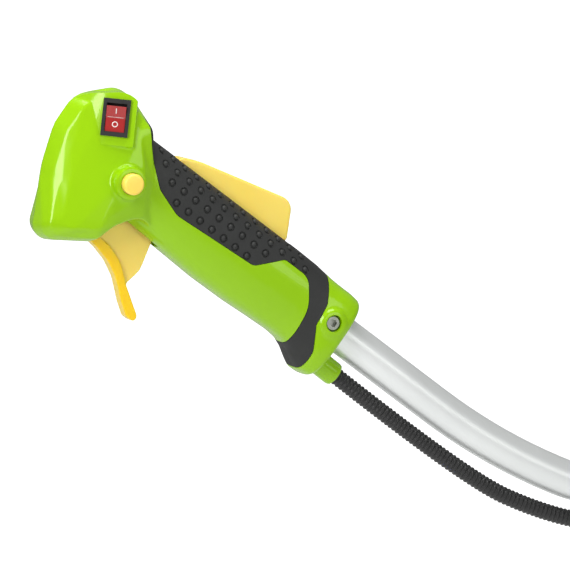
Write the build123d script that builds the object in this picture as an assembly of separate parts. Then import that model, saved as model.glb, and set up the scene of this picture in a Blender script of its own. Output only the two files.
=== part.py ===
from build123d import *
import math
import os

# The throttle handle of a petrol string trimmer, on the end of its bent handlebar tube.
# Everything is drawn in the handle's own frame and then placed in the row frame:
#   handle frame: x runs along the bar's axis, from the nose (negative) towards the bar,
#   z is square to it, away from the trigger, y = 0 is the parting plane of the two shells,
#   and the origin is on the bar's axis at the rear face of the collar.
#   row frame: +Z up, origin at the centre of the bar's free end, +X out of that end.
# Outlines are lists of corners (x, z, radius of the corner).

# ---------------------------------------------------------------- driving dimensions, mm

WALL = 2.5                      # shell wall
HEAD_HALF = 24.0                # half width of the head where it is widest
HEAD_MIDDLE = 17.0              # the head's rim slopes from here out
HEAD_WIDEST_X = -170.0
RIM_SLOPE = 38.0                # degrees
SIDE_TAPER = 20.0               # each side closes in by this towards the nose, degrees
NOSE_CORNER_X = -198.0
NOSE_TAPER = 52.0
GRIP_FRONT_X = -176.0
GRIP_HALF = 19.5
GRIP_TOP = 23.4
GRIP_BOTTOM = -25.2
GRIP_ROUND = 14.5
COLLAR_HALF = 20.5
COLLAR_TOP = 21.2
COLLAR_BOTTOM = -32.2
COLLAR_LENGTH = 22.0
COLLAR_ROUND = 13.0
PAD_DEPTH = 1.4

BAR_RADIUS = 11.0
BAR_WALL = 1.5
BAR_INNER_END_X = -50.0
BAR_ROUTE = [(BAR_INNER_END_X, 0), (120.2, 0), (187.5, 15.4), (246.2, 60.1)]
BAR_BENDS = [380, 105]
TILT = math.degrees(math.atan2(60.1 - 15.4, 246.2 - 187.5))   # so that the bar's free end is level

CONDUIT_RADIUS = 5.0
CONDUIT_BORE = 3.5
CONDUIT_ROUTE = [(4.0, -20.4), (118.0, -23.0), (173.8, -11.5), (214.8, 7.2), (230.7, 19.3)]
STUB_RADIUS = 7.0
STUB_LENGTH = 11.5
CHANNEL_RADIUS = 3.7
LEAD_RADIUS = 0.7
LEAD_Y = -2.0                   # the two leads lie beside the sheath in the conduit
LEAD_LIFT = 1.3
SHEATH_RADIUS = 1.75
SHEATH_Y = 1.6
SHEATH_END = 24.0               # the sheath stands this far out of the conduit
WIRE_RADIUS = 0.6
WIRE_BORE = 0.9
WIRE_DEPTH = 15.0               # each wire end reaches this far into the sheath
WIRE_ROOM = 24.5                # the bore goes on past the rear wire, which slides into it

TRIGGER_PIVOT = (-162.0, -37.0)
TRIGGER_PIN_RADIUS = 2.0
TRIGGER_ARM = 23.0              # from the pivot to the cable nipple
TRIGGER_SWING = 22.0            # degrees; the arm swings this evenly about square to the cable
WEB_HALF = 2.6                  # half the thickness of the trigger's web
FINGER_HALF = 4.6               # half the width of its finger bar
NIPPLE_RADIUS = 2.5
WIRE_Y = 8.0                    # the cable runs beside the trigger's web
SHEATH_STOP_X = -109.0

LEVER_PIVOT = (-134.0, 15.5)
LEVER_PIN_RADIUS = 1.75
LEVER_HALF = 7.0
LEVER_WALL = 2.2
SLOT_GAP = 0.5

BUTTON_AT = (-163.0, -7.0)
BUTTON_RADIUS = 6.0
BUTTON_FLANGE = 7.0
BUTTON_FACE_Y = -34.0
BUTTON_SHOULDER_Y = -17.5
BUTTON_TUBE_RADIUS = 9.3
BUTTON_TUBE_END_Y = -6.0
BOSS_FACE_Y = -29.0

PANEL = Plane((-189.0, -17.9, 18.5), x_dir=(0.79, -0.386, 0.47), z_dir=(-0.38, -0.92, -0.11))
BEZEL = (15.2, 21.0, 1.8)
SWITCH_BODY = (13.0, 18.8, 11.0)
ROCKER_OPENING = (11.4, 16.0, 8.0)
ROCKER_TILT = 12.0              # degrees each way from level

CLAMP_X = -11.3                 # the cross bolt through the collar and the bar
CLAMP_SEAT_Y = -13.6
NUT_SEAT_Y = 13.0
NUT_FLATS = 8.0
M5_RADIUS = 2.5
M5_HOLE = 2.75
SCREW_AT = [(-187, -36), (-150, 3), (-96, -20.2), (-36, 16.6), (-4, 16.8)]
SCREW_POST = 3.5
SCREW_SEAT_Y = 10.8
FIT = 0.02                      # radial clearance of a fixed fit
RUNNING = 0.05                  # radial clearance of a pin that turns

CLIP_AT = 6.0                   # the cable clip's middle, past the bar's last bend
CLIP_HALF = 4.0
CLIP_GROOVE = 0.3               # the clip sits in a groove this deep in the bar
BAR_FREE_END = 40.0             # the plain end that the shaft's clamp holds

HEAD_OUTLINE = [
    (-211.0, 17.5, 18),
    (-190.5, 37.2, 12),
    (-167.0, 27.5, 8),
    (-146.0, 2.0, 30),
    (-126.0, -24.6, 3),
    (-158.0, -45.4, 3),
    (-183.1, -63.0, 9),
    (-203.5, -25.0, 60),
    (-211.0, -3.0, 30),
]
ARCH_OUTLINE = [
    (-158.0, -45.2, 0.8),
    (-154.5, -31.0, 16),
    (-144.0, -17.8, 12),
    (-129.5, -18.4, 14),
    (-120.0, -25.4, 0.8),
    (-116.0, -48.0, 1),
    (-140.0, -75.0, 1),
    (-168.0, -58.0, 1),
]
PAD_OUTLINE = [
    (-176.0, 40.0, 1),
    (-170.5, 26.0, 2),
    (-146.0, 1.5, 8),
    (-126.0, -4.4, 8),
    (-72.0, -1.0, 5),
    (-56.5, 12.6, 5),
    (-38.0, 12.6, 10),
    (-28.0, 0.0, 20),
    (-24.5, -30.0, 1),
    (-6.0, -34.0, 1),
    (-6.0, 40.0, 1),
]
WEB_OUTLINE = [
    (-158.0, -41.5, 1),
    (-154.0, -16.0, 4),
    (-132.5, -11.5, 3),
    (-123.3, -22.4, 12),
    (-119.0, -40.0, 14),
    (-121.6, -50.5, 2),
    (-114.5, -57.5, 1),
    (-124.5, -55.0, 3),
    (-137.0, -46.6, 12),
    (-150.0, -43.0, 12),
]
FINGER_OUTLINE = [
    (-156.0, -38.6, 1.5),
    (-143.0, -39.2, 20),
    (-132.5, -43.0, 20),
    (-121.5, -51.4, 30),
    (-105.6, -61.7, 1.8),
    (-105.2, -65.6, 1.8),
    (-110.9, -65.6, 4),
    (-118.4, -60.4, 24),
    (-129.0, -51.6, 20),
    (-138.5, -46.8, 20),
    (-147.8, -44.4, 20),
    (-156.5, -43.2, 1.5),
]
LEVER_OUTLINE = [
    (-139.2, 11.0, 3),
    (-139.2, 24.4, 4),
    (-127.0, 29.4, 12),
    (-68.6, 43.2, 8),
    (-58.2, 24.0, 1),
    (-59.6, 19.0, 1),
    (-127.0, 10.0, 3),
]


# ---------------------------------------------------------------- small helpers
def face_of(corners):
    """A closed outline with rounded corners, as a face in the parting plane."""
    points = [(x, z) for x, z, _ in corners]
    line = FilletPolyline(*points, radius=[r for _, _, r in corners], close=True)
    return Plane.XZ * make_face(line)


def prism(face, y0, y1):
    """A face in the parting plane, extruded from y0 to y1."""
    return extrude(Pos(0, y0, 0) * face, amount=y1 - y0, dir=(0, 1, 0))


def pin(at, radius, y0, y1):
    """A cylinder along y."""
    return Pos(at[0], (y0 + y1) / 2, at[1]) * Rot(90, 0, 0) * Cylinder(radius, y1 - y0)


def bar_along_x(x0, x1, half, z0, z1, radius):
    """A bar along x with a rounded rectangular section."""
    section = Plane((x0, 0, (z0 + z1) / 2), x_dir=(0, 1, 0), z_dir=(1, 0, 0))
    return extrude(section * RectangleRounded(2 * half, z1 - z0, radius), amount=x1 - x0)


def rod(start, end, radius):
    """A cylinder from one point to another."""
    a, b = Vector(*start), Vector(*end)
    return extrude(Plane(a, z_dir=b - a) * Circle(radius), amount=(b - a).length)


def block(x0, x1, y0, y1, z0, z1):
    return Pos((x0 + x1) / 2, (y0 + y1) / 2, (z0 + z1) / 2) * Box(x1 - x0, y1 - y0, z1 - z0)


def coil(radius, wire, turns, pitch, centre):
    """A spring's coil along y, from centre on."""
    line = Helix(pitch, pitch * turns, radius, center=centre, direction=(0, 1, 0))
    return sweep(Plane(line @ 0, z_dir=line % 0) * Circle(wire), path=line)


def in_plane(route, y=0.0, lift=0.0):
    return [(x, y, z + lift) for x, z in route]


def bend_radii(route):
    """0.45 of the shorter run beside each corner, over the tangent of half the turn."""
    points = [Vector(*p) for p in route]
    runs = [b - a for a, b in zip(points, points[1:])]
    found = []
    for before, after in zip(runs, runs[1:]):
        half = math.radians(before.get_angle(after)) / 2
        found.append(0.45 * min(before.length, after.length) / math.tan(half))
    return found


def tube(route, radius, name):
    """A round rod along a route of straight runs and tangent arcs."""
    radii = bend_radii(route)
    path = FilletPolyline(*route, radius=radii)
    solid = sweep(Plane(path @ 0, z_dir=path % 0) * Circle(radius), path=path)
    share = solid.volume / (math.pi * radius**2 * path.length)
    print(f"{name}: length {path.length:.1f}, volume share {share:.4f}, radii", [round(r) for r in radii])
    return solid


def conduit_start(distance):
    """A point on the line of the conduit's first run."""
    start, second = [Vector(*p) for p in in_plane(CONDUIT_ROUTE[:2])]
    return tuple(start + (second - start).normalized() * distance)


def conduit_end(distance, y=0.0, drop=0.0):
    """A point past the conduit's far end, y to the side and drop below its line."""
    before, end = [Vector(*p) for p in in_plane(CONDUIT_ROUTE[-2:])]
    way = (end - before).normalized()
    return tuple(end + way * distance + Vector(way.Z, 0, -way.X) * drop + Vector(0, y, 0))


def nipple_at():
    """The cable nipple in the trigger's arm, (x, z), with the trigger at rest."""
    lean = math.radians(TRIGGER_SWING / 2)
    return (
        TRIGGER_PIVOT[0] + TRIGGER_ARM * math.sin(lean),
        TRIGGER_PIVOT[1] + TRIGGER_ARM * math.cos(lean),
    )


NIPPLE_X, NIPPLE_Z = nipple_at()


# ---------------------------------------------------------------- the outer form of the handle
def head(inset):
    """The head, with sloping rims, sides that close in towards the nose, and a blunt nose."""
    face = face_of(HEAD_OUTLINE)
    if inset:
        face = offset(face, amount=-inset)
    middle = extrude(face, amount=HEAD_MIDDLE, both=True)
    rim = extrude(Pos(0, -HEAD_MIDDLE, 0) * face, amount=HEAD_HALF - HEAD_MIDDLE - inset, taper=RIM_SLOPE)
    solid = middle + rim + mirror(rim, about=Plane.XZ)
    corner_half = HEAD_HALF - (HEAD_WIDEST_X - NOSE_CORNER_X) * math.tan(math.radians(SIDE_TAPER))
    cuts = [(HEAD_WIDEST_X, HEAD_HALF, SIDE_TAPER), (NOSE_CORNER_X, corner_half, NOSE_TAPER)]
    for side in (1, -1):
        for x, half, turn in cuts:
            corner = Pos(x, side * (half - inset), 0) * Rot(0, 0, side * turn)
            solid -= corner * Pos(-60, side * 30, 0) * Box(120, 60, 200)
    return solid


def handle_form(inset):
    """The handle's outer form, moved inwards by inset."""
    grip = bar_along_x(
        GRIP_FRONT_X + inset,
        -12,
        GRIP_HALF - inset,
        GRIP_BOTTOM + inset,
        GRIP_TOP - inset,
        GRIP_ROUND - inset,
    )
    arch = face_of(ARCH_OUTLINE)
    if inset:
        arch = offset(arch, amount=inset)
    return head(inset) + grip - prism(arch, -40, 40)


def collar():
    solid = bar_along_x(-COLLAR_LENGTH, 0, COLLAR_HALF, COLLAR_BOTTOM, COLLAR_TOP, COLLAR_ROUND)
    return chamfer(solid.faces().filter_by(Axis.X).edges(), 2.0)


# ---------------------------------------------------------------- the shells and their pads
def lever_slot():
    half = LEVER_HALF + SLOT_GAP
    return block(-142, -53.5, -half, half, 8, 40)


def posts():
    """What stands inside the shells: screw posts, pivot bosses, the button's tube, ribs."""
    solid = pin(BUTTON_AT, BUTTON_TUBE_RADIUS, -30, BUTTON_TUBE_END_Y)
    for at in SCREW_AT[:4]:
        solid += pin(at, SCREW_POST, -30, 30) + pin(at, 4.8, 9.9, 30)
    for at, reach in ((TRIGGER_PIVOT, 8.0), (LEVER_PIVOT, LEVER_HALF + SLOT_GAP)):
        solid += pin(at, 4.5, -30, -reach) + pin(at, 4.5, reach, 30)
    bar_rib = block(BAR_INNER_END_X + 2, BAR_INNER_END_X + 6, -30, 30, -30, 30)
    cable_window = block(BAR_INNER_END_X, BAR_INNER_END_X + 8, -8, 10, -30, -9)
    cable_stop = block(SHEATH_STOP_X - 4, SHEATH_STOP_X + 1, 4.8, 30, -30, -9)
    return solid + (bar_rib - cable_window) + cable_stop


def shell_blank():
    """Both shells as one hollow body, before it is split at y = 0."""
    cavity = handle_form(WALL) & block(-230, -COLLAR_LENGTH - 3, -40, 40, -80, 60)
    cavity -= posts()
    body = handle_form(0) + collar()
    body += rod(conduit_start(-10), conduit_start(STUB_LENGTH), STUB_RADIUS)
    body += pin(BUTTON_AT, BUTTON_TUBE_RADIUS, BOSS_FACE_Y, -16)
    body += pin(SCREW_AT[4], 5.2, 8, 19)
    body -= cavity
    body -= lever_slot()
    body -= block(-157.5, -119.3, -5.4, 5.4, -60, -12)
    body -= block(-161, -150, -8.2, 7.4, -60, -31.5)
    body -= rod((BAR_INNER_END_X, 0, 0), (5, 0, 0), BAR_RADIUS + FIT)
    body -= rod(conduit_start(-36), conduit_start(1), CHANNEL_RADIUS)
    body -= rod(conduit_start(-0.5), conduit_start(STUB_LENGTH + 2), CONDUIT_RADIUS + FIT)
    body -= rod((-114, WIRE_Y, NIPPLE_Z), (-104, WIRE_Y, NIPPLE_Z), SHEATH_RADIUS + 0.6)
    for at, radius in ((TRIGGER_PIVOT, TRIGGER_PIN_RADIUS), (LEVER_PIVOT, LEVER_PIN_RADIUS)):
        body -= pin(at, radius + FIT, -14.2, 14.2)
    body -= pin(BUTTON_AT, BUTTON_RADIUS + 0.25, -40, BUTTON_TUBE_END_Y + 1)
    body -= pin(BUTTON_AT, BUTTON_FLANGE + 0.3, BUTTON_SHOULDER_Y, BUTTON_TUBE_END_Y + 1)
    body -= pin((CLAMP_X, 0), M5_HOLE, -30, 30)
    return body


def pad_form():
    """The skin that the soft pads fill, on both sides."""
    skin = bar_along_x(GRIP_FRONT_X, -COLLAR_LENGTH, GRIP_HALF, GRIP_BOTTOM, GRIP_TOP, GRIP_ROUND)
    inner = bar_along_x(
        GRIP_FRONT_X - 1,
        0,
        GRIP_HALF - PAD_DEPTH,
        GRIP_BOTTOM + PAD_DEPTH,
        GRIP_TOP - PAD_DEPTH,
        GRIP_ROUND - PAD_DEPTH,
    )
    return (skin - inner) & (prism(face_of(PAD_OUTLINE), -30, 30) - head(0) - lever_slot())


def screw_hole(at):
    """A pilot in the left post, a clearance hole and a seat for the head in the right."""
    return pin(at, 1.28, -9, 0) + pin(at, 1.9, 0, 30) + pin(at, 3.1, SCREW_SEAT_Y, 30)


def shells_and_pads():
    pads = pad_form()
    blank = shell_blank() - pads
    for at in SCREW_AT:
        blank -= screw_hole(at)
    near, far = block(-230, 30, -60, 0, -90, 60), block(-230, 30, 0, 60, -90, 60)
    left = blank & near
    left -= pin((CLAMP_X, 0), 4.8, -30, CLAMP_SEAT_Y)
    left -= PANEL * Pos(0, 0, 15) * Box(26, 27, 30)
    left -= PANEL * Pos(0, 0, -6) * Box(SWITCH_BODY[0] + 0.4, SWITCH_BODY[1] + 0.4, 16)
    right = blank & far
    nut = RegularPolygon(NUT_FLATS / 2 + 0.1, 6, major_radius=False)
    right -= extrude(Plane((CLAMP_X, NUT_SEAT_Y, 0), z_dir=(0, 1, 0)) * nut, amount=12)
    return {
        "left_shell": left,
        "right_shell": right,
        "left_grip_pad": pads & near,
        "right_grip_pad": pads & far,
    }


# ---------------------------------------------------------------- trigger, lever and button
def trigger():
    """The T-section trigger, its hub, and the arm that pulls the cable."""
    nipple = (NIPPLE_X, NIPPLE_Z)
    body = prism(face_of(WEB_OUTLINE), -WEB_HALF, WEB_HALF)
    body += prism(face_of(FINGER_OUTLINE), -FINGER_HALF, FINGER_HALF)
    body += pin(TRIGGER_PIVOT, 5.0, -3.6, 6.8)
    arm_middle = ((TRIGGER_PIVOT[0] + NIPPLE_X) / 2, (TRIGGER_PIVOT[1] + NIPPLE_Z) / 2)
    arm_width = 6.8 - WEB_HALF
    arm = Rot(0, TRIGGER_SWING / 2, 0) * Box(7, arm_width, TRIGGER_ARM)
    arm = Pos(arm_middle[0], 6.8 - arm_width / 2, arm_middle[1]) * arm
    body += arm + pin(nipple, 5.0, 4.5, 11.2)
    body -= pin(TRIGGER_PIVOT, TRIGGER_PIN_RADIUS + RUNNING, -20, 20)
    body -= pin(nipple, NIPPLE_RADIUS + 0.8, 5.0, 12)
    wedge = [(NIPPLE_X, NIPPLE_Z + 1.4), (NIPPLE_X + 9, NIPPLE_Z + 1.8), (NIPPLE_X + 9, NIPPLE_Z - 6.5)]
    wedge_line = Polyline(*wedge, (NIPPLE_X, NIPPLE_Z - 2.0), close=True)
    return body - prism(Plane.XZ * make_face(wedge_line), 5.0, 12)


def lever():
    """The lockout lever, a channel open at the bottom, on a pin through its two flanges."""
    outline = face_of(LEVER_OUTLINE)
    hollow = offset(outline, amount=-LEVER_WALL) + face_of(
        [(-132, 24, 1), (-63, 24, 1), (-62, 5, 1), (-138, 5, 1), (-138, 21, 1)]
    )
    inner = LEVER_HALF - LEVER_WALL
    solid = prism(outline, -LEVER_HALF, LEVER_HALF) - prism(hollow, -inner, inner)
    return solid - pin(LEVER_PIVOT, LEVER_PIN_RADIUS + RUNNING, -20, 20)


def button():
    stem = pin(BUTTON_AT, BUTTON_RADIUS, BUTTON_FACE_Y, BUTTON_SHOULDER_Y + 1)
    stem = fillet(stem.faces().sort_by(Axis.Y)[0].edges(), 1.0)
    return stem + pin(BUTTON_AT, BUTTON_FLANGE, BUTTON_SHOULDER_Y + 0.2, BUTTON_SHOULDER_Y + 1.7)


def springs():
    """Torsion springs on the two pivots, and the button's compression spring."""
    button_spring_y = BUTTON_SHOULDER_Y + 2.3
    trigger_coil = coil(3.6, 0.5, 2.6, 1.2, (TRIGGER_PIVOT[0], -7.3, TRIGGER_PIVOT[1]))
    lever_coil = coil(3.1, 0.4, 5, 1.1, (LEVER_PIVOT[0], -2.75, LEVER_PIVOT[1]))
    button_coil = coil(4.5, 0.5, 4, 1.45, (BUTTON_AT[0], button_spring_y, BUTTON_AT[1]))
    return {
        "trigger_return_spring": trigger_coil,
        "lockout_spring": lever_coil,
        "lock_button_spring": button_coil,
    }


# ---------------------------------------------------------------- the rocker switch
def switch():
    housing = PANEL * Pos(0, 0, BEZEL[2] / 2) * Box(*BEZEL)
    housing += PANEL * Pos(0, 0, -SWITCH_BODY[2] / 2) * Box(*SWITCH_BODY)
    housing -= PANEL * Pos(0, 0, BEZEL[2] - ROCKER_OPENING[2] / 2) * Box(*ROCKER_OPENING)
    axle = PANEL * Pos(0, 0, -1.0) * Rot(0, 90, 0)
    housing -= axle * Cylinder(1.2 + RUNNING, 12.6)
    half = ROCKER_OPENING[1] / 2 - 0.7
    line = Polyline((-half, 2.6), (0, 1.3), (half, 2.6), (5.2, -3.4), (-5.2, -3.4), close=True)
    side = Plane((0, 0, 0), x_dir=(0, 1, 0), z_dir=(1, 0, 0)) * make_face(line)
    rocker = extrude(side, amount=ROCKER_OPENING[0] / 2 - 0.25, both=True)
    rocker = PANEL * Pos(0, 0, -1) * Rot(ROCKER_TILT, 0, 0) * Pos(0, 0, 1) * rocker
    rocker += axle * Cylinder(1.2, 12.4)
    depth = -SWITCH_BODY[2]
    blades = [PANEL * Pos(0, y, depth - 3.5) * Box(4.8, 0.8, 7) for y in (-5, 5)]
    return {
        "switch_housing": housing,
        "switch_rocker": rocker,
        "switch_terminals": Compound(children=blades),
    }


# ---------------------------------------------------------------- the bar, the cable and the leads
def bar_end_point(distance, drop=0.0):
    """A point on the bar's straight end, measured back from its free end, drop below the axis."""
    before, end = [Vector(*p) for p in in_plane(BAR_ROUTE[-2:])]
    way = (end - before).normalized()
    return tuple(end - way * distance + Vector(way.Z, 0, -way.X) * drop)


def bar_stretch(near, far, radius, drop=0.0):
    return rod(bar_end_point(near, drop), bar_end_point(far, drop), radius)


def clip_span():
    """Where the cable clip starts and ends, measured back from the bar's free end."""
    last_run = (Vector(*in_plane(BAR_ROUTE)[-1]) - Vector(*in_plane(BAR_ROUTE)[-2])).length
    turn = math.radians(TILT) - math.atan2(15.4, 187.5 - 120.2)
    middle = last_run - BAR_BENDS[1] * math.tan(turn / 2) - CLIP_AT
    return middle + CLIP_HALF, middle - CLIP_HALF


def handlebar():
    path = FilletPolyline(*in_plane(BAR_ROUTE), radius=BAR_BENDS)
    start = Plane(path @ 0, z_dir=path % 0)
    solid = sweep(start * (Circle(BAR_RADIUS) - Circle(BAR_RADIUS - BAR_WALL)), path=path)
    print(f"handlebar: length {path.length:.1f}")
    groove = bar_stretch(clip_span()[0] + 0.1, BAR_FREE_END, BAR_RADIUS + 1)
    groove -= bar_stretch(clip_span()[0] + 1, BAR_FREE_END - 1, BAR_RADIUS - CLIP_GROOVE)
    return solid - groove - pin((CLAMP_X, 0), M5_HOLE, -20, 20)


def conduit():
    """The corrugated conduit as a plain tube; its rings are a matter of finish."""
    route = in_plane(CONDUIT_ROUTE)
    return tube(route, CONDUIT_RADIUS, "conduit") - tube(route, CONDUIT_BORE, "conduit bore")


def sheath():
    """The Bowden cable's outer, from its stop in the grip, through the conduit, and out past it."""
    route = [
        (SHEATH_STOP_X, WIRE_Y, NIPPLE_Z),
        (-76, 7.6, -15.0),
        (-46, 3.4, -18.8),
        (-24, SHEATH_Y, -19.8),
    ]
    route += in_plane(CONDUIT_ROUTE[1:-1], SHEATH_Y)
    route += [conduit_end(SHEATH_END, SHEATH_Y)]
    solid = tube(route, SHEATH_RADIUS, "sheath")
    way = (Vector(*route[1]) - Vector(*route[0])).normalized()
    solid -= rod(route[0], tuple(Vector(*route[0]) + way * (WIRE_DEPTH + 1)), WIRE_BORE)
    return solid - rod(conduit_end(SHEATH_END - WIRE_ROOM, SHEATH_Y), route[-1], WIRE_BORE)


def leads():
    """Two leads from the switch's terminals to their connectors, and the connectors."""
    wires, ends = [], []
    for side, blade_y in ((1, 5), (-1, -5)):
        lift = side * LEAD_LIFT
        blade = PANEL * Pos(0, blade_y, -SWITCH_BODY[2] - 8.0)
        route = [
            tuple(blade.position),
            (-169, -4.5, 12.6 + lift),
            (-150, -10.5, 9.2 + lift / 2),
            (-125, -11.5, 5 + lift),
            (-98, -11, -9.5 + lift),
            (-72, -8, -15.5 + lift),
            (-44, -4, -18.3 + lift),
            (-24, LEAD_Y, -19.8 + lift),
        ]
        route += in_plane(CONDUIT_ROUTE[1:-1], LEAD_Y, lift)
        route += [
            conduit_end(8, LEAD_Y, -0.8 * lift),
            conduit_end(19, LEAD_Y - 1.5, 2.5 - 2 * lift),
            conduit_end(31, LEAD_Y - 4, 10 - 3 * lift),
            conduit_end(37, LEAD_Y - 5, 19 - 3.5 * lift),
        ]
        wires.append(tube(route, LEAD_RADIUS, "lead"))
        way = (Vector(*route[-1]) - Vector(*route[-2])).normalized()
        tip = Vector(*route[-1])
        ends.append(rod(tuple(tip), tuple(tip + way * 14), 2.2))
    return {"switch_leads": Compound(children=wires), "lead_connectors": Compound(children=ends)}


def cable_ends():
    """The wire's two ends, the ferrule at the stop, the adjuster and its locknut."""
    stop = Vector(SHEATH_STOP_X, WIRE_Y, NIPPLE_Z)
    entry = (Vector(-76, 7.6, -15.0) - stop).normalized()
    inner_end = tuple(stop + entry * WIRE_DEPTH)
    front = rod((NIPPLE_X, WIRE_Y, NIPPLE_Z), inner_end, WIRE_RADIUS)
    front += pin((NIPPLE_X, NIPPLE_Z), NIPPLE_RADIUS, 5.5, 10.5)
    ferrule = rod((SHEATH_STOP_X - 1.6, WIRE_Y, NIPPLE_Z), tuple(stop + entry * 7), SHEATH_RADIUS + 0.5)
    ferrule -= rod(tuple(stop), tuple(stop + entry * 9), SHEATH_RADIUS + FIT)
    ferrule -= rod((SHEATH_STOP_X - 3, WIRE_Y, NIPPLE_Z), tuple(stop + entry), WIRE_BORE)
    end = SHEATH_END
    rear = rod(conduit_end(end - WIRE_DEPTH, SHEATH_Y), conduit_end(end + 32, SHEATH_Y), WIRE_RADIUS)
    rear += rod(conduit_end(end + 28, SHEATH_Y), conduit_end(end + 33, SHEATH_Y), 2.2)
    barrel = rod(conduit_end(end - 8, SHEATH_Y), conduit_end(end + 12, SHEATH_Y), 3.0)
    barrel -= rod(conduit_end(end - 9, SHEATH_Y), conduit_end(end, SHEATH_Y), SHEATH_RADIUS + FIT)
    barrel -= rod(conduit_end(end - 1, SHEATH_Y), conduit_end(end + 13, SHEATH_Y), WIRE_BORE)
    nut_plane = Plane(conduit_end(end + 2, SHEATH_Y), z_dir=Vector(*conduit_end(1)) - Vector(*conduit_end(0)))
    locknut = extrude(nut_plane * RegularPolygon(5.0, 6, major_radius=False), amount=4)
    locknut -= rod(conduit_end(end + 1, SHEATH_Y), conduit_end(end + 7, SHEATH_Y), 3.0 + FIT)
    return {
        "throttle_wire_front": front,
        "sheath_ferrule": ferrule,
        "throttle_wire_rear": rear,
        "cable_adjuster": barrel,
        "adjuster_locknut": locknut,
    }


def end_sleeve():
    """The rubber sleeve on the conduit's far end."""
    solid = rod(conduit_end(-3.5), conduit_end(6), CONDUIT_RADIUS + 1.3)
    solid -= rod(conduit_end(-10), conduit_end(0), CONDUIT_RADIUS + FIT)
    return solid - rod(conduit_end(-1), conduit_end(7), CONDUIT_BORE)


def clip():
    """The clip that holds the conduit under the bar, split and closed by one screw."""
    near, far = clip_span()
    way = (Vector(*bar_end_point(0)) - Vector(*bar_end_point(1))).normalized()
    down = Vector(way.Z, 0, -way.X)
    drop = (Vector(*conduit_end(0)) - Vector(*bar_end_point(0))).dot(down)
    body = bar_stretch(near, far, BAR_RADIUS + 2)
    body += bar_stretch(near, far, CONDUIT_RADIUS + 2, drop)
    lug_plane = Plane(bar_end_point((near + far) / 2, 14.8), x_dir=way, z_dir=(0, -1, 0))
    body += extrude(lug_plane * Rectangle(2 * CLIP_HALF, 9), amount=5.5, both=True)
    body -= bar_stretch(near + 1, far - 1, BAR_RADIUS - CLIP_GROOVE + FIT)
    body -= bar_stretch(near + 1, far - 1, CONDUIT_RADIUS + FIT, drop)
    body -= extrude(lug_plane * Rectangle(2 * CLIP_HALF + 2, 9), amount=0.4, both=True)
    body -= extrude(lug_plane * Circle(1.5 + FIT), amount=10, both=True)
    screw = extrude(lug_plane * Circle(1.5), amount=5.5, both=True)
    screw += extrude(lug_plane.offset(5.5) * Circle(2.75), amount=2.2)
    screw += extrude(lug_plane.offset(-7.9) * RegularPolygon(2.75, 6, major_radius=False), amount=2.4)
    socket = RegularPolygon(1.25, 6, major_radius=False)
    return {"conduit_clip": body, "clip_screw": screw - extrude(lug_plane.offset(6.4) * socket, amount=2)}


# ---------------------------------------------------------------- the fasteners
def clamp_bolt():
    face = Plane((CLAMP_X, CLAMP_SEAT_Y - 1, 0), z_dir=(0, -1, 0))
    screw = extrude(face * Circle(4.25), amount=5)
    screw = chamfer(screw.faces().sort_by(Axis.Y)[0].edges(), 0.5)
    screw += pin((CLAMP_X, 0), M5_RADIUS, CLAMP_SEAT_Y - 1, NUT_SEAT_Y + 5)
    screw -= extrude(face.offset(2.2) * RegularPolygon(2.0, 6, major_radius=False), amount=4)
    washer = pin((CLAMP_X, 0), 4.7, CLAMP_SEAT_Y - 1, CLAMP_SEAT_Y)
    washer -= pin((CLAMP_X, 0), M5_RADIUS + 0.15, CLAMP_SEAT_Y - 2, CLAMP_SEAT_Y + 1)
    back = Plane((CLAMP_X, NUT_SEAT_Y, 0), z_dir=(0, 1, 0))
    nut = extrude(back * RegularPolygon(NUT_FLATS / 2, 6, major_radius=False), amount=4)
    nut -= pin((CLAMP_X, 0), M5_RADIUS + FIT, NUT_SEAT_Y - 1, NUT_SEAT_Y + 5)
    return {"clamp_screw": screw, "clamp_washer": washer, "clamp_nut": nut}


def shell_screws():
    made = []
    for at in SCREW_AT:
        screw = pin(at, 1.26, -8, SCREW_SEAT_Y) + pin(at, 2.8, SCREW_SEAT_Y, SCREW_SEAT_Y + 2.2)
        made.append(screw - pin(at, 0.9, SCREW_SEAT_Y + 1, SCREW_SEAT_Y + 3))
    return Compound(children=made)


# ---------------------------------------------------------------- all of it, in the row frame
def nodes():
    made = shells_and_pads()
    made["handlebar_tube"] = handlebar()
    made["throttle_trigger"] = trigger()
    made["trigger_pivot_pin"] = pin(TRIGGER_PIVOT, TRIGGER_PIN_RADIUS, -14, 14)
    made["lockout_lever"] = lever()
    made["lockout_pivot_pin"] = pin(LEVER_PIVOT, LEVER_PIN_RADIUS, -14, 14)
    made["lock_button"] = button()
    seat_y = BUTTON_TUBE_END_Y - 2
    made["button_spring_seat"] = pin(BUTTON_AT, BUTTON_FLANGE + 0.3 - FIT, seat_y, seat_y + 2)
    made.update(springs())
    made.update(switch())
    made["conduit"] = conduit()
    made["throttle_sheath"] = sheath()
    made.update(leads())
    made.update(cable_ends())
    made["conduit_end_sleeve"] = end_sleeve()
    made.update(clip())
    made.update(clamp_bolt())
    made["shell_screws"] = shell_screws()
    return made


def main():
    os.makedirs("parts", exist_ok=True)
    upright = Rot(0, TILT, 0)
    bar_end = (upright * Pos(*bar_end_point(0))).position
    for name, shape in nodes().items():
        placed = Pos(*(-bar_end)) * upright * shape
        export_step(placed, f"parts/{name}.step")
    print("bar end in the handle frame", bar_end_point(0))


main()
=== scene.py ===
import math

import bmesh
import bpy
from mathutils import Matrix, Vector


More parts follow.
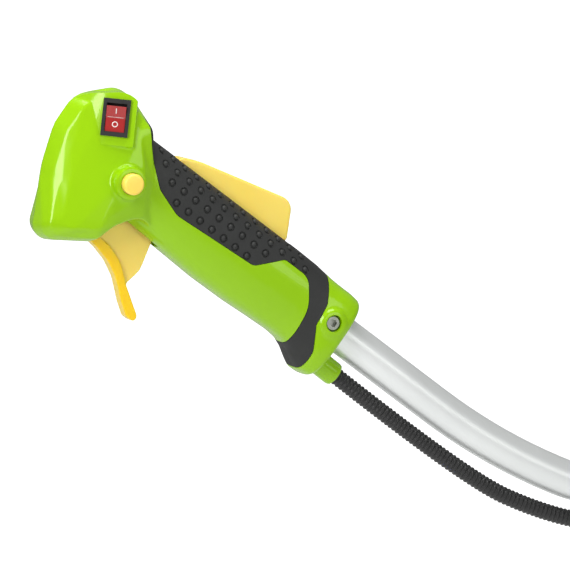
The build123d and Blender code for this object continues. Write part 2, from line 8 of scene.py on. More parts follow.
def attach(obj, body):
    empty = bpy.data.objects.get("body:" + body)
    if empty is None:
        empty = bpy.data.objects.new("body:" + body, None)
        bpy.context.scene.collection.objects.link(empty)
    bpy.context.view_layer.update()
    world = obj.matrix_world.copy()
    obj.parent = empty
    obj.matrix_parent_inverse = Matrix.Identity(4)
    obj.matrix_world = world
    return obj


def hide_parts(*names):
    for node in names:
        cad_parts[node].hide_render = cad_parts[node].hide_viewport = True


# The throttle handle is drawn in its own frame, in millimetres: x along the bar from the nose
# to the collar, z away from the trigger, y = 0 on the parting plane. place() then moves a
# finished mesh into the row frame, in metres, where the CAD nodes lie.
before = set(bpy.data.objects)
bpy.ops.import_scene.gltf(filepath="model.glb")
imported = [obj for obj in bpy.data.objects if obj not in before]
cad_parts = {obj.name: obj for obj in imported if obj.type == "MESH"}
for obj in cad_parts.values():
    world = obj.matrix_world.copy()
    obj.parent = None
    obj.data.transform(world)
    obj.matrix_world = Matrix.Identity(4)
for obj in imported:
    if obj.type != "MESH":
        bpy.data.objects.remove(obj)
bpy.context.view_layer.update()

MM = 0.001
BAR_BEND = (187.5, 15.4)
BAR_END = (246.2, 60.1)
LEAN = math.atan2(BAR_END[1] - BAR_BEND[1], BAR_END[0] - BAR_BEND[0])
TURN = Matrix.Rotation(LEAN, 4, "Y")
TO_BAR_END = Matrix.Translation(TURN @ Vector((-BAR_END[0], 0, -BAR_END[1])) * MM)
HANDLE = TO_BAR_END @ TURN @ Matrix.Scale(MM, 4)

VOXEL = 0.9
SOFTEN_STEPS = 9
WALL = 3.2  # from the outer form to the shells' inside
PARTING_GAP = 0.12  # from the parting plane to each half
PAD_DEPTH = 1.5
PAD_GAP = 0.32
BEYOND = 40  # a cut this far out along y clears the whole handle
CLEAR = 60  # and this far out nothing stands in the way

# corners of the head's loops, from the middle outwards: (x, z, radius, y)
PROFILE_LOOP = [
    (-211.0, 17.5, 18, 0),
    (-190.5, 37.2, 12, 0),
    (-163.5, 27.0, 10, 0),
    (-148.0, 8.0, 20, 0),
    (-126.0, -24.6, 3, 0),
    (-157.0, -45.0, 3, 0),
    (-183.1, -62.8, 9, 0),
    (-203.5, -25.0, 60, 0),
    (-211.0, -3.0, 30, 0),
]
SHOULDER_LOOP = [
    (-205.0, 16.5, 16, -9),
    (-190.0, 36.6, 11, -10),
    (-164.5, 26.4, 10, -13),
    (-148.5, 6.6, 20, -13),
    (-126.4, -24.0, 3, -9),
    (-157.3, -44.8, 3, -13),
    (-183.0, -61.4, 9, -10),
    (-198.6, -24.5, 60, -8.5),
    (-204.4, -4.0, 30, -8.5),
]
CREASE_LOOP = [
    (-198.4, 14.0, 14, -11.6),
    (-188.8, 33.2, 9, -15.0),
    (-167.0, 24.6, 8, -20.8),
    (-150.0, 3.0, 16, -19.2),
    (-127.5, -22.8, 3, -13.5),
    (-158.4, -42.4, 3, -20.5),
    (-182.4, -57.2, 7, -15.5),
    (-193.8, -25.5, 50, -12.4),
    (-198.8, -6.5, 24, -11.8),
]
SIDE_LOOP = [
    (-192.5, 9.5, 10),
    (-185.0, 25.0, 7),
    (-173.0, 20.0, 6),
    (-156.5, 1.0, 12),
    (-141.0, -17.5, 5),
    (-160.5, -37.8, 3),
    (-178.6, -49.6, 6),
    (-188.6, -25.5, 40),
    (-193.0, -6.5, 20),
]
HEAD_HALF = 24.1
# the broad side narrows beyond these: x at the nose, x at the grip, z at the bottom
NOSE_FROM, REAR_FROM, LOW_FROM = -166, -155, -34
SIDE_SHARES = (0.05, 0.3, 0.55, 0.8, 1.0)  # the rings over the broad side, from its middle out
SIDE_MIDDLE = (-167.0, -10.0)
ARCH = [
    (-158.0, -45.2, 0.8),
    (-154.5, -31.0, 16),
    (-144.0, -17.8, 12),
    (-129.5, -18.4, 14),
    (-120.0, -25.4, 0.8),
    (-116.0, -48.0, 1),
    (-140.0, -75.0, 1),
    (-168.0, -58.0, 1),
]
PLATE = [(11.4, 0, 0.3), (11.4, -9, 0.3), (-26, -9.5, 0.3), (-26, -9, 0.3), (-8.8, 0, 26)]
PANEL_LIMITS = [
    (-212.0, 17.5, 18),
    (-190.5, 35.2, 11),
    (-170.0, 27.0, 8),
    (-158.0, -10.0, 8),
    (-205.0, -12.0, 8),
]
PAD_EDGE = [
    (-187.0, 44.5, 1),
    (-160.4, 16.0, 40),
    (-143.0, 1.4, 9),
    (-126.0, -4.4, 14),
    (-71.0, -1.0, 5),
    (-56.5, 12.9, 5),
    (-38.5, 12.9, 9),
    (-28.4, -1.0, 22),
    (-25.2, -20.0, 20),
    (-22.2, -31.0, 1),
    (-8.5, -36.0, 1),
    (-11.4, -20.0, 6),
    (-19.3, -6.4, 4),
    (-20.4, 6.4, 5),
    (-26.6, 20.0, 4),
    (-27.0, 44.0, 1),
]
GRIP_SIDES = 48
# stations of the grip and collar: (x, top, bottom, half width, squareness)
GRIP_STATIONS = [
    (-178, 23.4, -21.0, 17.5, 2.6),
    (-150, 23.4, -22.5, 18.8, 2.6),
    (-118, 23.4, -24.0, 19.2, 2.6),
    (-90, 23.4, -25.2, 19.4, 2.6),
    (-66, 23.4, -24.9, 19.2, 2.6),
    (-48, 23.3, -23.9, 18.9, 2.6),
    (-34, 22.9, -23.3, 18.6, 2.7),
    (-26, 22.0, -23.8, 18.7, 2.8),
    (-19, 21.4, -26.2, 19.3, 3.0),
    (-12.5, 21.2, -29.8, 20.2, 3.2),
    (-8, 21.2, -32.0, 20.5, 3.3),
    (-2.2, 20.6, -31.8, 20.3, 3.3),
    (-0.4, 19.2, -30.2, 18.8, 3.2),
    (0, 17.4, -28.2, 17.0, 3.1),
]


# ---------------------------------------------------------------- shaping by hand
def only(obj):
    if bpy.context.object and bpy.context.object.mode != "OBJECT":
        bpy.ops.object.mode_set(mode="OBJECT")
    bpy.ops.object.select_all(action="DESELECT")
    bpy.context.view_layer.objects.active = obj
    obj.select_set(True)
    return obj


def in_edit(obj):
    only(obj)
    bpy.ops.object.mode_set(mode="EDIT")
    bpy.ops.mesh.select_all(action="SELECT")


def done(obj):
    bpy.ops.object.mode_set(mode="OBJECT")
    return obj


def rounded(corners, steps=6):
    """Each corner as an arc of its radius, keeping any value after the radius."""
    line = []
    count = len(corners)
    for index, corner in enumerate(corners):
        here = Vector(corner[:2])
        to_last = (Vector(corners[index - 1][:2]) - here).normalized()
        to_next = (Vector(corners[(index + 1) % count][:2]) - here).normalized()
        half = to_last.angle(to_next) / 2
        reach = corner[2] / math.tan(half)
        middle = here + (to_last + to_next).normalized() * (corner[2] / math.sin(half))
        first, last = here + to_last * reach - middle, here + to_next * reach - middle
        for step in range(steps + 1):
            spoke = first.lerp(last, step / steps).normalized() * corner[2]
            line.append((middle.x + spoke.x, middle.y + spoke.y, *corner[3:]))
    return line


def outline_face(name, points, y=0.0):
    """A flat face with its corners on the points (x, z) or (x, z, y)."""
    bpy.ops.mesh.primitive_circle_add(vertices=len(points), fill_type="NGON")
    obj = bpy.context.object
    obj.name = name
    for corner, point in zip(obj.data.vertices, points):
        corner.co = (point[0], point[2] if len(point) > 2 else y, point[1])
    return obj


def extruded(obj, depth):
    """A flat face made a solid, along y."""
    in_edit(obj)
    bpy.ops.mesh.extrude_region_move(TRANSFORM_OT_translate={"value": (0, depth, 0)})
    outwards()
    return done(obj)


def prism(name, corners, y0, y1):
    return extruded(outline_face(name, rounded(corners), y0), y1 - y0)


def outwards():
    bpy.ops.mesh.select_all(action="SELECT")
    bpy.ops.mesh.normals_make_consistent(inside=False)


def loft(name, rings):
    """A closed skin through rings of points that follow each other one to one."""
    obj = outline_face(name, [(x, z, y) for x, y, z in rings[0]])
    in_edit(obj)
    order = list(range(len(rings[0])))
    for ring in rings[1:]:
        bpy.ops.mesh.extrude_region_move()
        mesh = bmesh.from_edit_mesh(obj.data)
        mesh.verts.ensure_lookup_table()
        following = []
        for index, position in zip(order, ring):
            start = mesh.verts[index]
            ends = [edge.other_vert(start) for edge in start.link_edges]
            corner = next(end for end in ends if end.select)
            corner.co = position
            following.append(corner.index)
        order = following
        bmesh.update_edit_mesh(obj.data)
    outwards()
    return done(obj)


def narrowing(beyond, rate, softness):
    """Nearly nought before a place and the rate for each millimetre beyond it, softly begun."""
    return rate * (math.sqrt(beyond**2 + softness) + beyond) / 2


def side_half(x, z):
    """Half the head's width over its broad side, less towards the nose, the grip and the bottom."""
    nose = narrowing(NOSE_FROM - x, 0.36, 16)
    rear = narrowing(x - REAR_FROM, 0.34, 16)
    low = narrowing(LOW_FROM - z, 0.05, 36)
    return HEAD_HALF - nose - rear - low


def head_form():
    """A loft from side to side, over the broad side, the crease, the shoulder and the profile."""
    side = rounded(SIDE_LOOP)
    middle_x, middle_z = SIDE_MIDDLE
    loops = []
    for share in SIDE_SHARES:
        loop = []
        for x, z in side:
            x, z = middle_x + (x - middle_x) * share, middle_z + (z - middle_z) * share
            loop.append((x, -side_half(x, z), z))
        loops.append(loop)
    for loop in (CREASE_LOOP, SHOULDER_LOOP, PROFILE_LOOP):
        loops.append([(x, y, z) for x, z, y in rounded(loop)])
    loops += [[(x, -y, z) for x, y, z in loop] for loop in loops[-2::-1]]
    return loft("head form", loops)


def grip_form():
    """A loft of rounded sections along the bar."""
    rings = []
    for x, top, bottom, half, square in GRIP_STATIONS:
        ring = []
        for step in range(GRIP_SIDES):
            angle = 2 * math.pi * step / GRIP_SIDES
            across, up = math.sin(angle), math.cos(angle)
            y = half * math.copysign(abs(across) ** (2 / square), across)
            z = math.copysign(abs(up) ** (2 / square), up)
            ring.append((x, y, (top + bottom) / 2 + z * (top - bottom) / 2))
        rings.append(ring)
    return loft("grip form", rings)


def rod(name, start, end, radius, sides=48, cone=None):
    """A cylinder, or a cone, from one point to another."""
    start, end = Vector(start), Vector(end)
    way = end - start
    bpy.ops.mesh.primitive_cone_add(
        vertices=sides, radius1=radius, radius2=radius if cone is None else cone, depth=way.length
    )
    obj = bpy.context.object
    obj.name = name
    turn = way.to_track_quat("Z", "Y").to_matrix().to_4x4()
    obj.data.transform(Matrix.Translation((start + end) / 2) @ turn)
    return obj


def peg(name, at, radius, y0, y1, sides=48, end_radius=None):
    """A cylinder along y."""
    return rod(name, (at[0], y0, at[1]), (at[0], y1, at[1]), radius, sides, end_radius)


def box(name, x0, x1, y0, y1, z0, z1):
    bpy.ops.mesh.primitive_cube_add(size=1)
    obj = bpy.context.object
    obj.name = name
    size = Matrix.Diagonal((x1 - x0, y1 - y0, z1 - z0, 1))
    obj.data.transform(Matrix.Translation(((x0 + x1) / 2, (y0 + y1) / 2, (z0 + z1) / 2)) @ size)
    return obj


def joined(name, objs):
    only(objs[0])
    for obj in objs[1:]:
        obj.select_set(True)
    bpy.ops.object.join()
    objs[0].name = name
    return objs[0]


def copied(obj, name):
    twin = obj.copy()
    twin.data = obj.data.copy()
    twin.name = name
    bpy.context.collection.objects.link(twin)
    return twin


def discard(*objs):
    for obj in objs:
        bpy.data.objects.remove(obj, do_unlink=True)


def finish_modifier(obj, kind, **settings):
    only(obj)
    modifier = obj.modifiers.new(kind.lower(), kind)
    for key, value in settings.items():
        setattr(modifier, key, value)
    bpy.ops.object.modifier_apply(modifier=modifier.name)
    return obj


def carve(obj, tool, how="DIFFERENCE", keep=False):
    """The tool is cut out of the piece, or kept in common with it, and then put away."""
    finish_modifier(obj, "BOOLEAN", operation=how, object=tool, solver="EXACT")
    if not keep:
        discard(tool)
    return obj


def halve(obj, side):
    """Only what lies on one side of the parting plane stays: side -1 is the left."""
    near, far = sorted((side * PARTING_GAP, side * CLEAR))
    return carve(obj, box("side", -400, 100, near, far, -200, 200), "INTERSECT")


def place(obj):
    """From the handle's frame in millimetres to the row frame in metres."""
    obj.data.transform(HANDLE)
    return obj


def smooth(obj, degrees=40):
    only(obj)
    bpy.ops.object.shade_smooth_by_angle(angle=math.radians(degrees))
    return obj


# ---------------------------------------------------------------- finishes
def rgb(red, green, blue):
    """A colour as it is seen on a screen, as the shader wants it."""
    linear = []
    for value in (red / 255, green / 255, blue / 255):
        linear.append(value / 12.92 if value <= 0.04045 else ((value + 0.055) / 1.055) ** 2.4)
    return (*linear, 1)


def group(name, inputs, outputs):
    made = bpy.data.node_groups.new(name, "ShaderNodeTree")
    for label, kind, value in inputs:
        made.interface.new_socket(label, in_out="INPUT", socket_type=kind).default_value = value
    for label, kind in outputs:
        made.interface.new_socket(label, in_out="OUTPUT", socket_type=kind)
    return made, made.nodes.new("NodeGroupInput"), made.nodes.new("NodeGroupOutput")


def add(tree, kind, **settings):
    """A node with its settings, and its inputs by name or number."""
    node = tree.nodes.new(kind)
    inputs = settings.pop("inputs", {})
    for key, value in settings.items():
        setattr(node, key, value)
    for key, value in inputs.items():
        if isinstance(value, bpy.types.NodeSocket):
            tree.links.new(value, node.inputs[key])
        else:
            node.inputs[key].default_value = value
    return node


def noise(tree, where, scale, detail):
    inputs = {"Vector": where, "Scale": scale, "Detail": detail}
    return add(tree, "ShaderNodeTexNoise", inputs=inputs).outputs["Fac"]


def product(tree, first, second):
    inputs = {0: first, 1: second}
    return add(tree, "ShaderNodeMath", operation="MULTIPLY", inputs=inputs).outputs["Value"]


def moulded_surface():
    """The unevenness of a surface: a broad drift of shade, a fine relief and rubbed patches."""
    tree, given, result = group(
        "moulded surface",
        [("Size", "NodeSocketFloat", 30.0), ("Depth", "NodeSocketFloat", 0.2)],
        [("Drift", "NodeSocketFloat"), ("Height", "NodeSocketFloat"), ("Rub", "NodeSocketFloat")],
    )
    where = add(tree, "ShaderNodeTexCoord").outputs["Object"]
    height = product(tree, noise(tree, where, 900.0, 3.0), given.outputs["Depth"])
    tree.links.new(noise(tree, where, given.outputs["Size"], 2.0), result.inputs["Drift"])
    tree.links.new(height, result.inputs["Height"])
    tree.links.new(noise(tree, where, 160.0, 6.0), result.inputs["Rub"])
    return tree


def edge_wear():
    """A mask of the convex edges, broken up by noise."""
    tree, given, result = group(
        "edge wear", [("Amount", "NodeSocketFloat", 0.3)], [("Mask", "NodeSocketFloat")]
    )
    where = add(tree, "ShaderNodeTexCoord").outputs["Object"]
    convex = add(tree, "ShaderNodeNewGeometry").outputs["Pointiness"]
    inputs = {"Value": convex, "From Min": 0.52, "From Max": 0.62}
    edges = add(tree, "ShaderNodeMapRange", inputs=inputs).outputs["Result"]
    broken = product(tree, edges, noise(tree, where, 400.0, 4.0))
    tree.links.new(product(tree, broken, given.outputs["Amount"]), result.inputs["Mask"])
    return tree


MOULDED = moulded_surface()
WEAR = edge_wear()


def painted_through_light_mask(tree):
    """Painted light through thin amber: nought in the trigger's thin web, painted paler, one in its
    finger bar, by how far out they reach.
    """
    where = add(tree, "ShaderNodeTexCoord").outputs["Object"]
    across = add(tree, "ShaderNodeSeparateXYZ", inputs={0: where}).outputs["Y"]
    reach = add(tree, "ShaderNodeMath", operation="ABSOLUTE", inputs={0: across}).outputs["Value"]
    inputs = {"Value": reach, "From Min": 0.0026, "From Max": 0.0036}
    return add(tree, "ShaderNodeMapRange", inputs=inputs).outputs["Result"]


def finish(
    name,
    colour,
    rough,
    second=None,
    depth=0.2,
    bump=0.3,
    size=30.0,
    wear=0.2,
    mask=None,
    **sockets,
):
    """A material: two close shades that drift, varied roughness, a fine relief and worn edges."""
    material = bpy.data.materials.new(name)
    material.use_nodes = True
    tree = material.node_tree
    shader = tree.nodes["Principled BSDF"]
    inputs = {"Size": size, "Depth": depth}
    surface = add(tree, "ShaderNodeGroup", node_tree=MOULDED, inputs=inputs)
    worn = add(tree, "ShaderNodeGroup", node_tree=WEAR, inputs={"Amount": wear})

    blend = add(tree, "ShaderNodeMix", data_type="RGBA")
    factor = mask(tree) if mask else surface.outputs["Drift"]
    tree.links.new(factor, blend.inputs["Factor"])
    blend.inputs[6].default_value = colour
    blend.inputs[7].default_value = second or tuple(v * 0.9 for v in colour[:3]) + (1,)

    edges = add(tree, "ShaderNodeMix", data_type="RGBA")
    tree.links.new(worn.outputs["Mask"], edges.inputs["Factor"])
    tree.links.new(blend.outputs[2], edges.inputs[6])
    edges.inputs[7].default_value = tuple(min(1.0, v * 1.4 + 0.03) for v in colour[:3]) + (1,)
    tree.links.new(edges.outputs[2], shader.inputs["Base Color"])

    inputs = {"Value": surface.outputs["Rub"], "To Min": rough * 0.85, "To Max": rough * 1.2}
    roughness = add(tree, "ShaderNodeMapRange", inputs=inputs)
    tree.links.new(roughness.outputs["Result"], shader.inputs["Roughness"])

    inputs = {"Height": surface.outputs["Height"], "Strength": bump, "Distance": 0.0002}
    relief = add(tree, "ShaderNodeBump", inputs=inputs)
    tree.links.new(relief.outputs["Normal"], shader.inputs["Normal"])
    for socket, value in sockets.items():
        shader.inputs[socket.replace("_", " ")].default_value = value
    return material


GREEN = finish(
    "glossy green moulding",
    rgb(147, 199, 0),
    0.24,
    rgb(143, 196, 0),
    depth=0.05,
    bump=0.05,
    Specular_IOR_Level=0.35,
    Specular_Tint=(0.95, 1.0, 0.6, 1),
    Coat_Weight=0.35,
    Coat_Roughness=0.04,
)
PAD_BLACK = finish(
    "grip rubber", rgb(40, 41, 40), 0.62, rgb(33, 34, 33), depth=0.8, bump=0.35, size=60
)
THIN_AMBER = dict(
    depth=0.1,
    bump=0.08,
    Subsurface_Weight=0.3,
    Subsurface_Scale=0.004,
    Subsurface_Radius=(1.0, 0.6, 0.2),
)
AMBER = finish("amber moulding", rgb(255, 216, 84), 0.3, rgb(255, 224, 108), **THIN_AMBER)
# the trigger's thin web gets the paler colour, painted light shining through it; its finger bar
# gets the deep yellow
TRIGGER_AMBER = finish(
    "trigger amber", rgb(255, 222, 106), 0.3, rgb(255, 208, 4), mask=painted_through_light_mask, **THIN_AMBER
)
ALUMINIUM = finish(
    "satin tube", rgb(238, 241, 239), 0.36, rgb(228, 231, 230), depth=0.3, bump=0.1, Metallic=0.55
)
ZINC = finish("zinc plate", rgb(196, 202, 190), 0.3, rgb(170, 172, 165), Metallic=1.0, size=120)
SPRING = finish("spring wire", rgb(120, 120, 122), 0.35, Metallic=1.0, size=120)
BLACK = finish("black moulding", rgb(34, 35, 34), 0.42, rgb(27, 28, 28), depth=0.3, bump=0.2)
CONDUIT_BLACK = finish("conduit", rgb(38, 38, 38), 0.36, rgb(30, 30, 30), depth=0.3, bump=0.2)
RED = finish(
    "red rocker",
    rgb(176, 40, 38),
    0.25,
    rgb(160, 30, 30),
    wear=0.0,
    Coat_Weight=0.4,
    Coat_Roughness=0.1,
)
WHITE_INK = finish("white marks", rgb(240, 236, 232), 0.5, wear=0.0)
BRASS = finish("brass", rgb(206, 170, 92), 0.32, Metallic=1.0, size=120)
BLUE = finish("lead insulation", rgb(40, 66, 130), 0.4, rgb(34, 56, 118))
STRAND = finish("stranded steel", rgb(150, 150, 148), 0.4, Metallic=1.0, size=200)


def painted(obj, material):
    obj.data.materials.clear()
    obj.data.materials.append(material)
    return obj


# ---------------------------------------------------------------- the outer form and the shells
def softened(obj, voxel=VOXEL, steps=SOFTEN_STEPS, strength=0.5):
    finish_modifier(obj, "REMESH", mode="VOXEL", voxel_size=voxel)
    return finish_modifier(obj, "SMOOTH", factor=strength, iterations=steps)


# the switch's panel: its middle, the way out of it, and the way to its right
PANEL_AT = Vector((-189.0, -17.9, 18.5))
PANEL_OUT = Vector((-0.38, -0.92, -0.11)).normalized()
PANEL_ACROSS = Vector((0.79, -0.386, 0.47))
PANEL_RIGHT = (PANEL_ACROSS - PANEL_OUT * PANEL_ACROSS.dot(PANEL_OUT)).normalized()
PANEL_UP = PANEL_OUT.cross(PANEL_RIGHT)
PANEL_TURN = Matrix((PANEL_RIGHT, PANEL_UP, PANEL_OUT)).transposed().to_4x4()
PANEL = Matrix.Translation(PANEL_AT) @ PANEL_TURN
PANEL_FOOT, PANEL_HEAD = -15.5, 20
STEP_LIFT = 0.15  # the crisp step stands this much out of the soft one
BUTTON_AT = (-163.0, -7.0)
CLAMP_AT = (-11.3, 0.0)
FAR_BOSS_AT = (-4, 16.8)
CONDUIT_WAY = Vector((114.0, 0, -2.6)).normalized()
CONDUIT_START = Vector((4.0, 0, -20.4))
SCREW_AT = [(-187, -36), (-150, 3), (-96, -20.2), (-36, 16.6), FAR_BOSS_AT]
POST_COUNT = 4  # the last screw stands in the far boss
TRIGGER_PIVOT = (-162.0, -37.0)
LEVER_PIVOT = (-134.0, 15.5)
SIDE_NAMES = {-1: "left", 1: "right"}
# pockets: (name, x0, x1, y0, y1, z0, z1), the switch's in the panel's own frame
LEVER_SLOT = ("lever slot", -142, -53.5, -7.5, 7.5, 8, 40)
TRIGGER_SLOT = ("trigger slot", -157.5, -119.3, -5.4, 5.4, -60, -12)
HUB_SLOT = ("hub slot", -161, -150, -8.2, 7.4, -60, -31.5)
SWITCH_OPENING = ("switch opening", -6.7, 6.7, -9.6, 9.6, -14, 10)


def panel_plate(name, lift):
    """The flat step that carries the switch, kept inside the head's outline."""
    profile = [(x, z + lift, radius) for x, z, radius in PLATE]
    plate = prism(name, profile, PANEL_FOOT, PANEL_HEAD)
    plate.data.transform(PANEL)
    return carve(plate, prism("panel limits", PANEL_LIMITS, -BEYOND, BEYOND), "INTERSECT")


def outer_form():
    """The whole handle as one soft block, before it is split and cut."""
    head = head_form()
    carve(head, prism("arch", ARCH, -BEYOND, BEYOND))
    plate = panel_plate("panel plate", 0)
    stub_root, stub_end = CONDUIT_START - CONDUIT_WAY * 12, CONDUIT_START + CONDUIT_WAY * 11.5
    parts = [
        head,
        grip_form(),
        rod("stub", stub_root, stub_end, 7),
        peg("clamp boss", CLAMP_AT, 7.6, -21.4, -12),
        peg("far boss", FAR_BOSS_AT, 5.2, 8, 19),
        peg("button boss", BUTTON_AT, 9.4, -29.2, -14),
        plate,
    ]
    return softened(joined("handle_form", parts))


def shrunk(obj, name, depth):
    inner = copied(obj, name)
    in_edit(inner)
    bpy.ops.transform.shrink_fatten(value=-depth)
    return done(inner)


def grown(corners, by):
    """An outline moved outwards, corner by corner."""
    pairs = list(zip(corners[-1:] + corners[:-1], corners))
    turning = math.copysign(1, sum(a[0] * b[1] - b[0] * a[1] for a, b in pairs))
    moved = []
    for (last, corner), (_, following) in zip(pairs, pairs[1:] + pairs[:1]):
        here = Vector(corner[:2])
        before = (here - Vector(last[:2])).normalized()
        after = (Vector(following[:2]) - here).normalized()
        outs = [Vector((way.y, -way.x)) * turning for way in (before, after)]
        mitre = (outs[0] + outs[1]).normalized()
        moved.append((*(here + mitre * (by / mitre.dot(outs[0]))), corner[2]))
    return moved


def cuts_for(side):
    """What is cut out of a shell: the slots, the holes and the seats."""
    seat = CONDUIT_START - CONDUIT_WAY * 0.5, CONDUIT_START + CONDUIT_WAY * 14
    way = CONDUIT_START - CONDUIT_WAY * 20, CONDUIT_START + CONDUIT_WAY
    tools = [
        box(*LEVER_SLOT),
        box(*TRIGGER_SLOT),
        box(*HUB_SLOT),
        rod("bar hole", (-60, 0, 0), (5, 0, 0), 11.06),
        rod("conduit seat", *seat, 5.05),
        rod("conduit way", *way, 3.7),
        peg("clamp hole", CLAMP_AT, 2.75, -BEYOND, BEYOND),
    ]
    if side < 0:
        tools.append(peg("clamp seat", CLAMP_AT, 4.85, -BEYOND, -13.6))
        tools.append(peg("button hole", BUTTON_AT, 6.3, -BEYOND, -5))
        opening = box(*SWITCH_OPENING)
        opening.data.transform(PANEL)
        tools.append(opening)
    else:
        tools.append(peg("nut seat", CLAMP_AT, 4.75, 13, BEYOND, sides=6))
        tools += [peg("screw seat", at, 3.1, 10.8, BEYOND, sides=32) for at in SCREW_AT]
        tools += [peg("screw hole", at, 1.7, -1, 20, sides=24) for at in SCREW_AT]
    return tools


def surface_point(obj, at, side):
    """Where a line along y at (x, z) meets the form from that side, and the normal there."""
    _, place_on, normal, _ = obj.ray_cast((at[0], side * CLEAR, at[1]), (0, -side, 0))
    return place_on, normal


def cavity_form(form):
    """The room inside the shells, with the posts and bosses left standing in it."""
    cavity = softened(shrunk(form, "cavity", WALL), 1.2, 2)
    for at in SCREW_AT[:POST_COUNT]:
        carve(cavity, peg("post", at, 3.5, -BEYOND, BEYOND, sides=24))
    for at, reach in ((TRIGGER_PIVOT, 8.4), (LEVER_PIVOT, 7.9)):
        for side in (-1, 1):
            boss = peg("pivot boss", at, 4.5, side * reach, side * BEYOND, sides=24)
            carve(cavity, boss)
    carve(cavity, peg("button tube", BUTTON_AT, 9.3, -6, -BEYOND))
    return cavity


def shell_half(body, cavity, side, name):
    half = halve(copied(body, name), side)
    carve(half, cavity, keep=True)
    for tool in cuts_for(side):
        carve(half, tool)
    smooth(painted(half, GREEN), 32)
    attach(place(half), "handle")
    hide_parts("left_shell" if side < 0 else "right_shell")
    return half


# rows of nubs on the pads: (z, first x, how many)
NUB_ROWS = [(0.9, -130.6, 7), (8.6, -139.4, 9), (15.2, -148.1, 13), (20.2, -153.0, 13)]
NUB_PITCH = 8.8
NUB_SUNK = 0.15


def nub():
    """One nub of the grip pad: a flattened dome."""
    bpy.ops.mesh.primitive_uv_sphere_add(segments=16, ring_count=10, radius=1.5)
    dome = bpy.context.object
    dome.data.transform(Matrix.Diagonal((1, 1, 0.8, 1)))
    return dome


def torus(major, minor, major_steps, minor_steps):
    bpy.ops.mesh.primitive_torus_add(
        major_segments=major_steps,
        minor_segments=minor_steps,
        major_radius=major,
        minor_radius=minor,
    )
    return bpy.context.object


def pad_half(pads, form, side, name):
    """One grip pad, with rows of nubs that each stand in a sunken ring."""
    half = halve(copied(pads, name), side)
    shapes = {"dome": nub(), "ring": torus(1.95, 0.55, 20, 8)}
    sets = {kind: [] for kind in shapes}
    for z, start, count in NUB_ROWS:
        for step in range(count):
            where, normal = surface_point(form, (start + NUB_PITCH * step, z), side)
            turn = normal.to_track_quat("Z", "Y").to_matrix().to_4x4()
            for kind, shape in shapes.items():
                one = copied(shape, kind)
                one.data.transform(Matrix.Translation(where - normal * NUB_SUNK) @ turn)
                sets[kind].append(one)
    discard(*shapes.values())
    carve(half, joined("rings", sets["ring"]))
    smooth(joined(name, [half, *sets["dome"]]), 35)
    painted(half, PAD_BLACK)
    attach(place(half), "handle")
    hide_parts("left_grip_pad" if side < 0 else "right_grip_pad")
    return half


def shells_and_pads():
    form = outer_form()
    under = softened(shrunk(form, "under", PAD_DEPTH), VOXEL, 1)
    recess = prism("recess", grown(PAD_EDGE, PAD_GAP), -BEYOND, BEYOND)
    carve(recess, under, keep=True)
    pads = carve(prism("pads", PAD_EDGE, -BEYOND, BEYOND), under)
    carve(pads, form, "INTERSECT", keep=True)
    carve(pads, box(*LEVER_SLOT))
    step = panel_plate("panel step", STEP_LIFT)
    finish_modifier(step, "BEVEL", width=0.55, segments=3, angle_limit=math.radians(50))
    body = carve(carve(copied(form, "body"), step, "UNION"), recess)
    cavity = cavity_form(form)
    for side, word in SIDE_NAMES.items():
        shell_half(body, cavity, side, f"{word}_shell_moulding")
        pad_half(pads, form, side, f"{word}_pad")
    discard(form, pads, body, cavity)


shells_and_pads()

# ---------------------------------------------------------------- trigger, lever and button
FINGER_BAR = [
    (-156.0, -38.6, 1.5),
    (-143.0, -39.2, 20),
    (-132.5, -43.0, 20),
    (-121.5, -51.4, 30),
    (-105.6, -61.7, 1.8),
    (-105.2, -65.6, 1.8),
    (-110.9, -65.6, 4),
    (-118.4, -60.4, 24),
    (-129.0, -51.6, 20),
    (-138.5, -46.8, 20),
    (-147.8, -44.4, 20),
    (-156.5, -43.2, 1.5),
]
WEB = [
    (-158.0, -41.5, 1),
    (-154.0, -16.0, 4),
    (-132.5, -11.5, 3),
    (-123.3, -22.4, 12),
    (-119.0, -40.0, 14),
    (-121.6, -50.5, 2),
    (-114.5, -57.5, 1),
    (-124.5, -55.0, 3),
    (-137.0, -46.6, 12),
    (-150.0, -43.0, 12),
]
ARM = 23.0  # from the pivot to the cable nipple
ARM_LEAN = math.radians(11)
NIPPLE_X = TRIGGER_PIVOT[0] + ARM * math.sin(ARM_LEAN)
NIPPLE_Z = TRIGGER_PIVOT[1] + ARM * math.cos(ARM_LEAN)
NIPPLE_AT = (NIPPLE_X, NIPPLE_Z)
WIRE_WAY = [
    (NIPPLE_X, NIPPLE_Z + 1.4),
    (NIPPLE_X + 9, NIPPLE_Z + 1.8),
    (NIPPLE_X + 9, NIPPLE_Z - 6.5),
    (NIPPLE_X, NIPPLE_Z - 2.0),
]
LEVER = [
    (-139.2, 11.0, 3),
    (-139.2, 24.4, 4),
    (-127.0, 29.4, 12),
    (-68.6, 43.2, 8),
    (-58.2, 24.0, 1),
    (-59.6, 19.0, 1),
    (-127.0, 10.0, 3),
]
LEVER_HALF = 6.9
LEVER_ROOM = 4.8
LEVER_WALL = 2.2
LEVER_MOUTH = ("mouth", -138, -61.5, -LEVER_ROOM, LEVER_ROOM, 5, 23)


def moving(obj, body, node, material):
    """Places a finished moving piece, in the stead of its CAD node."""
    painted(obj, material)
    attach(place(obj), body)
    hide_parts(node)
    return obj


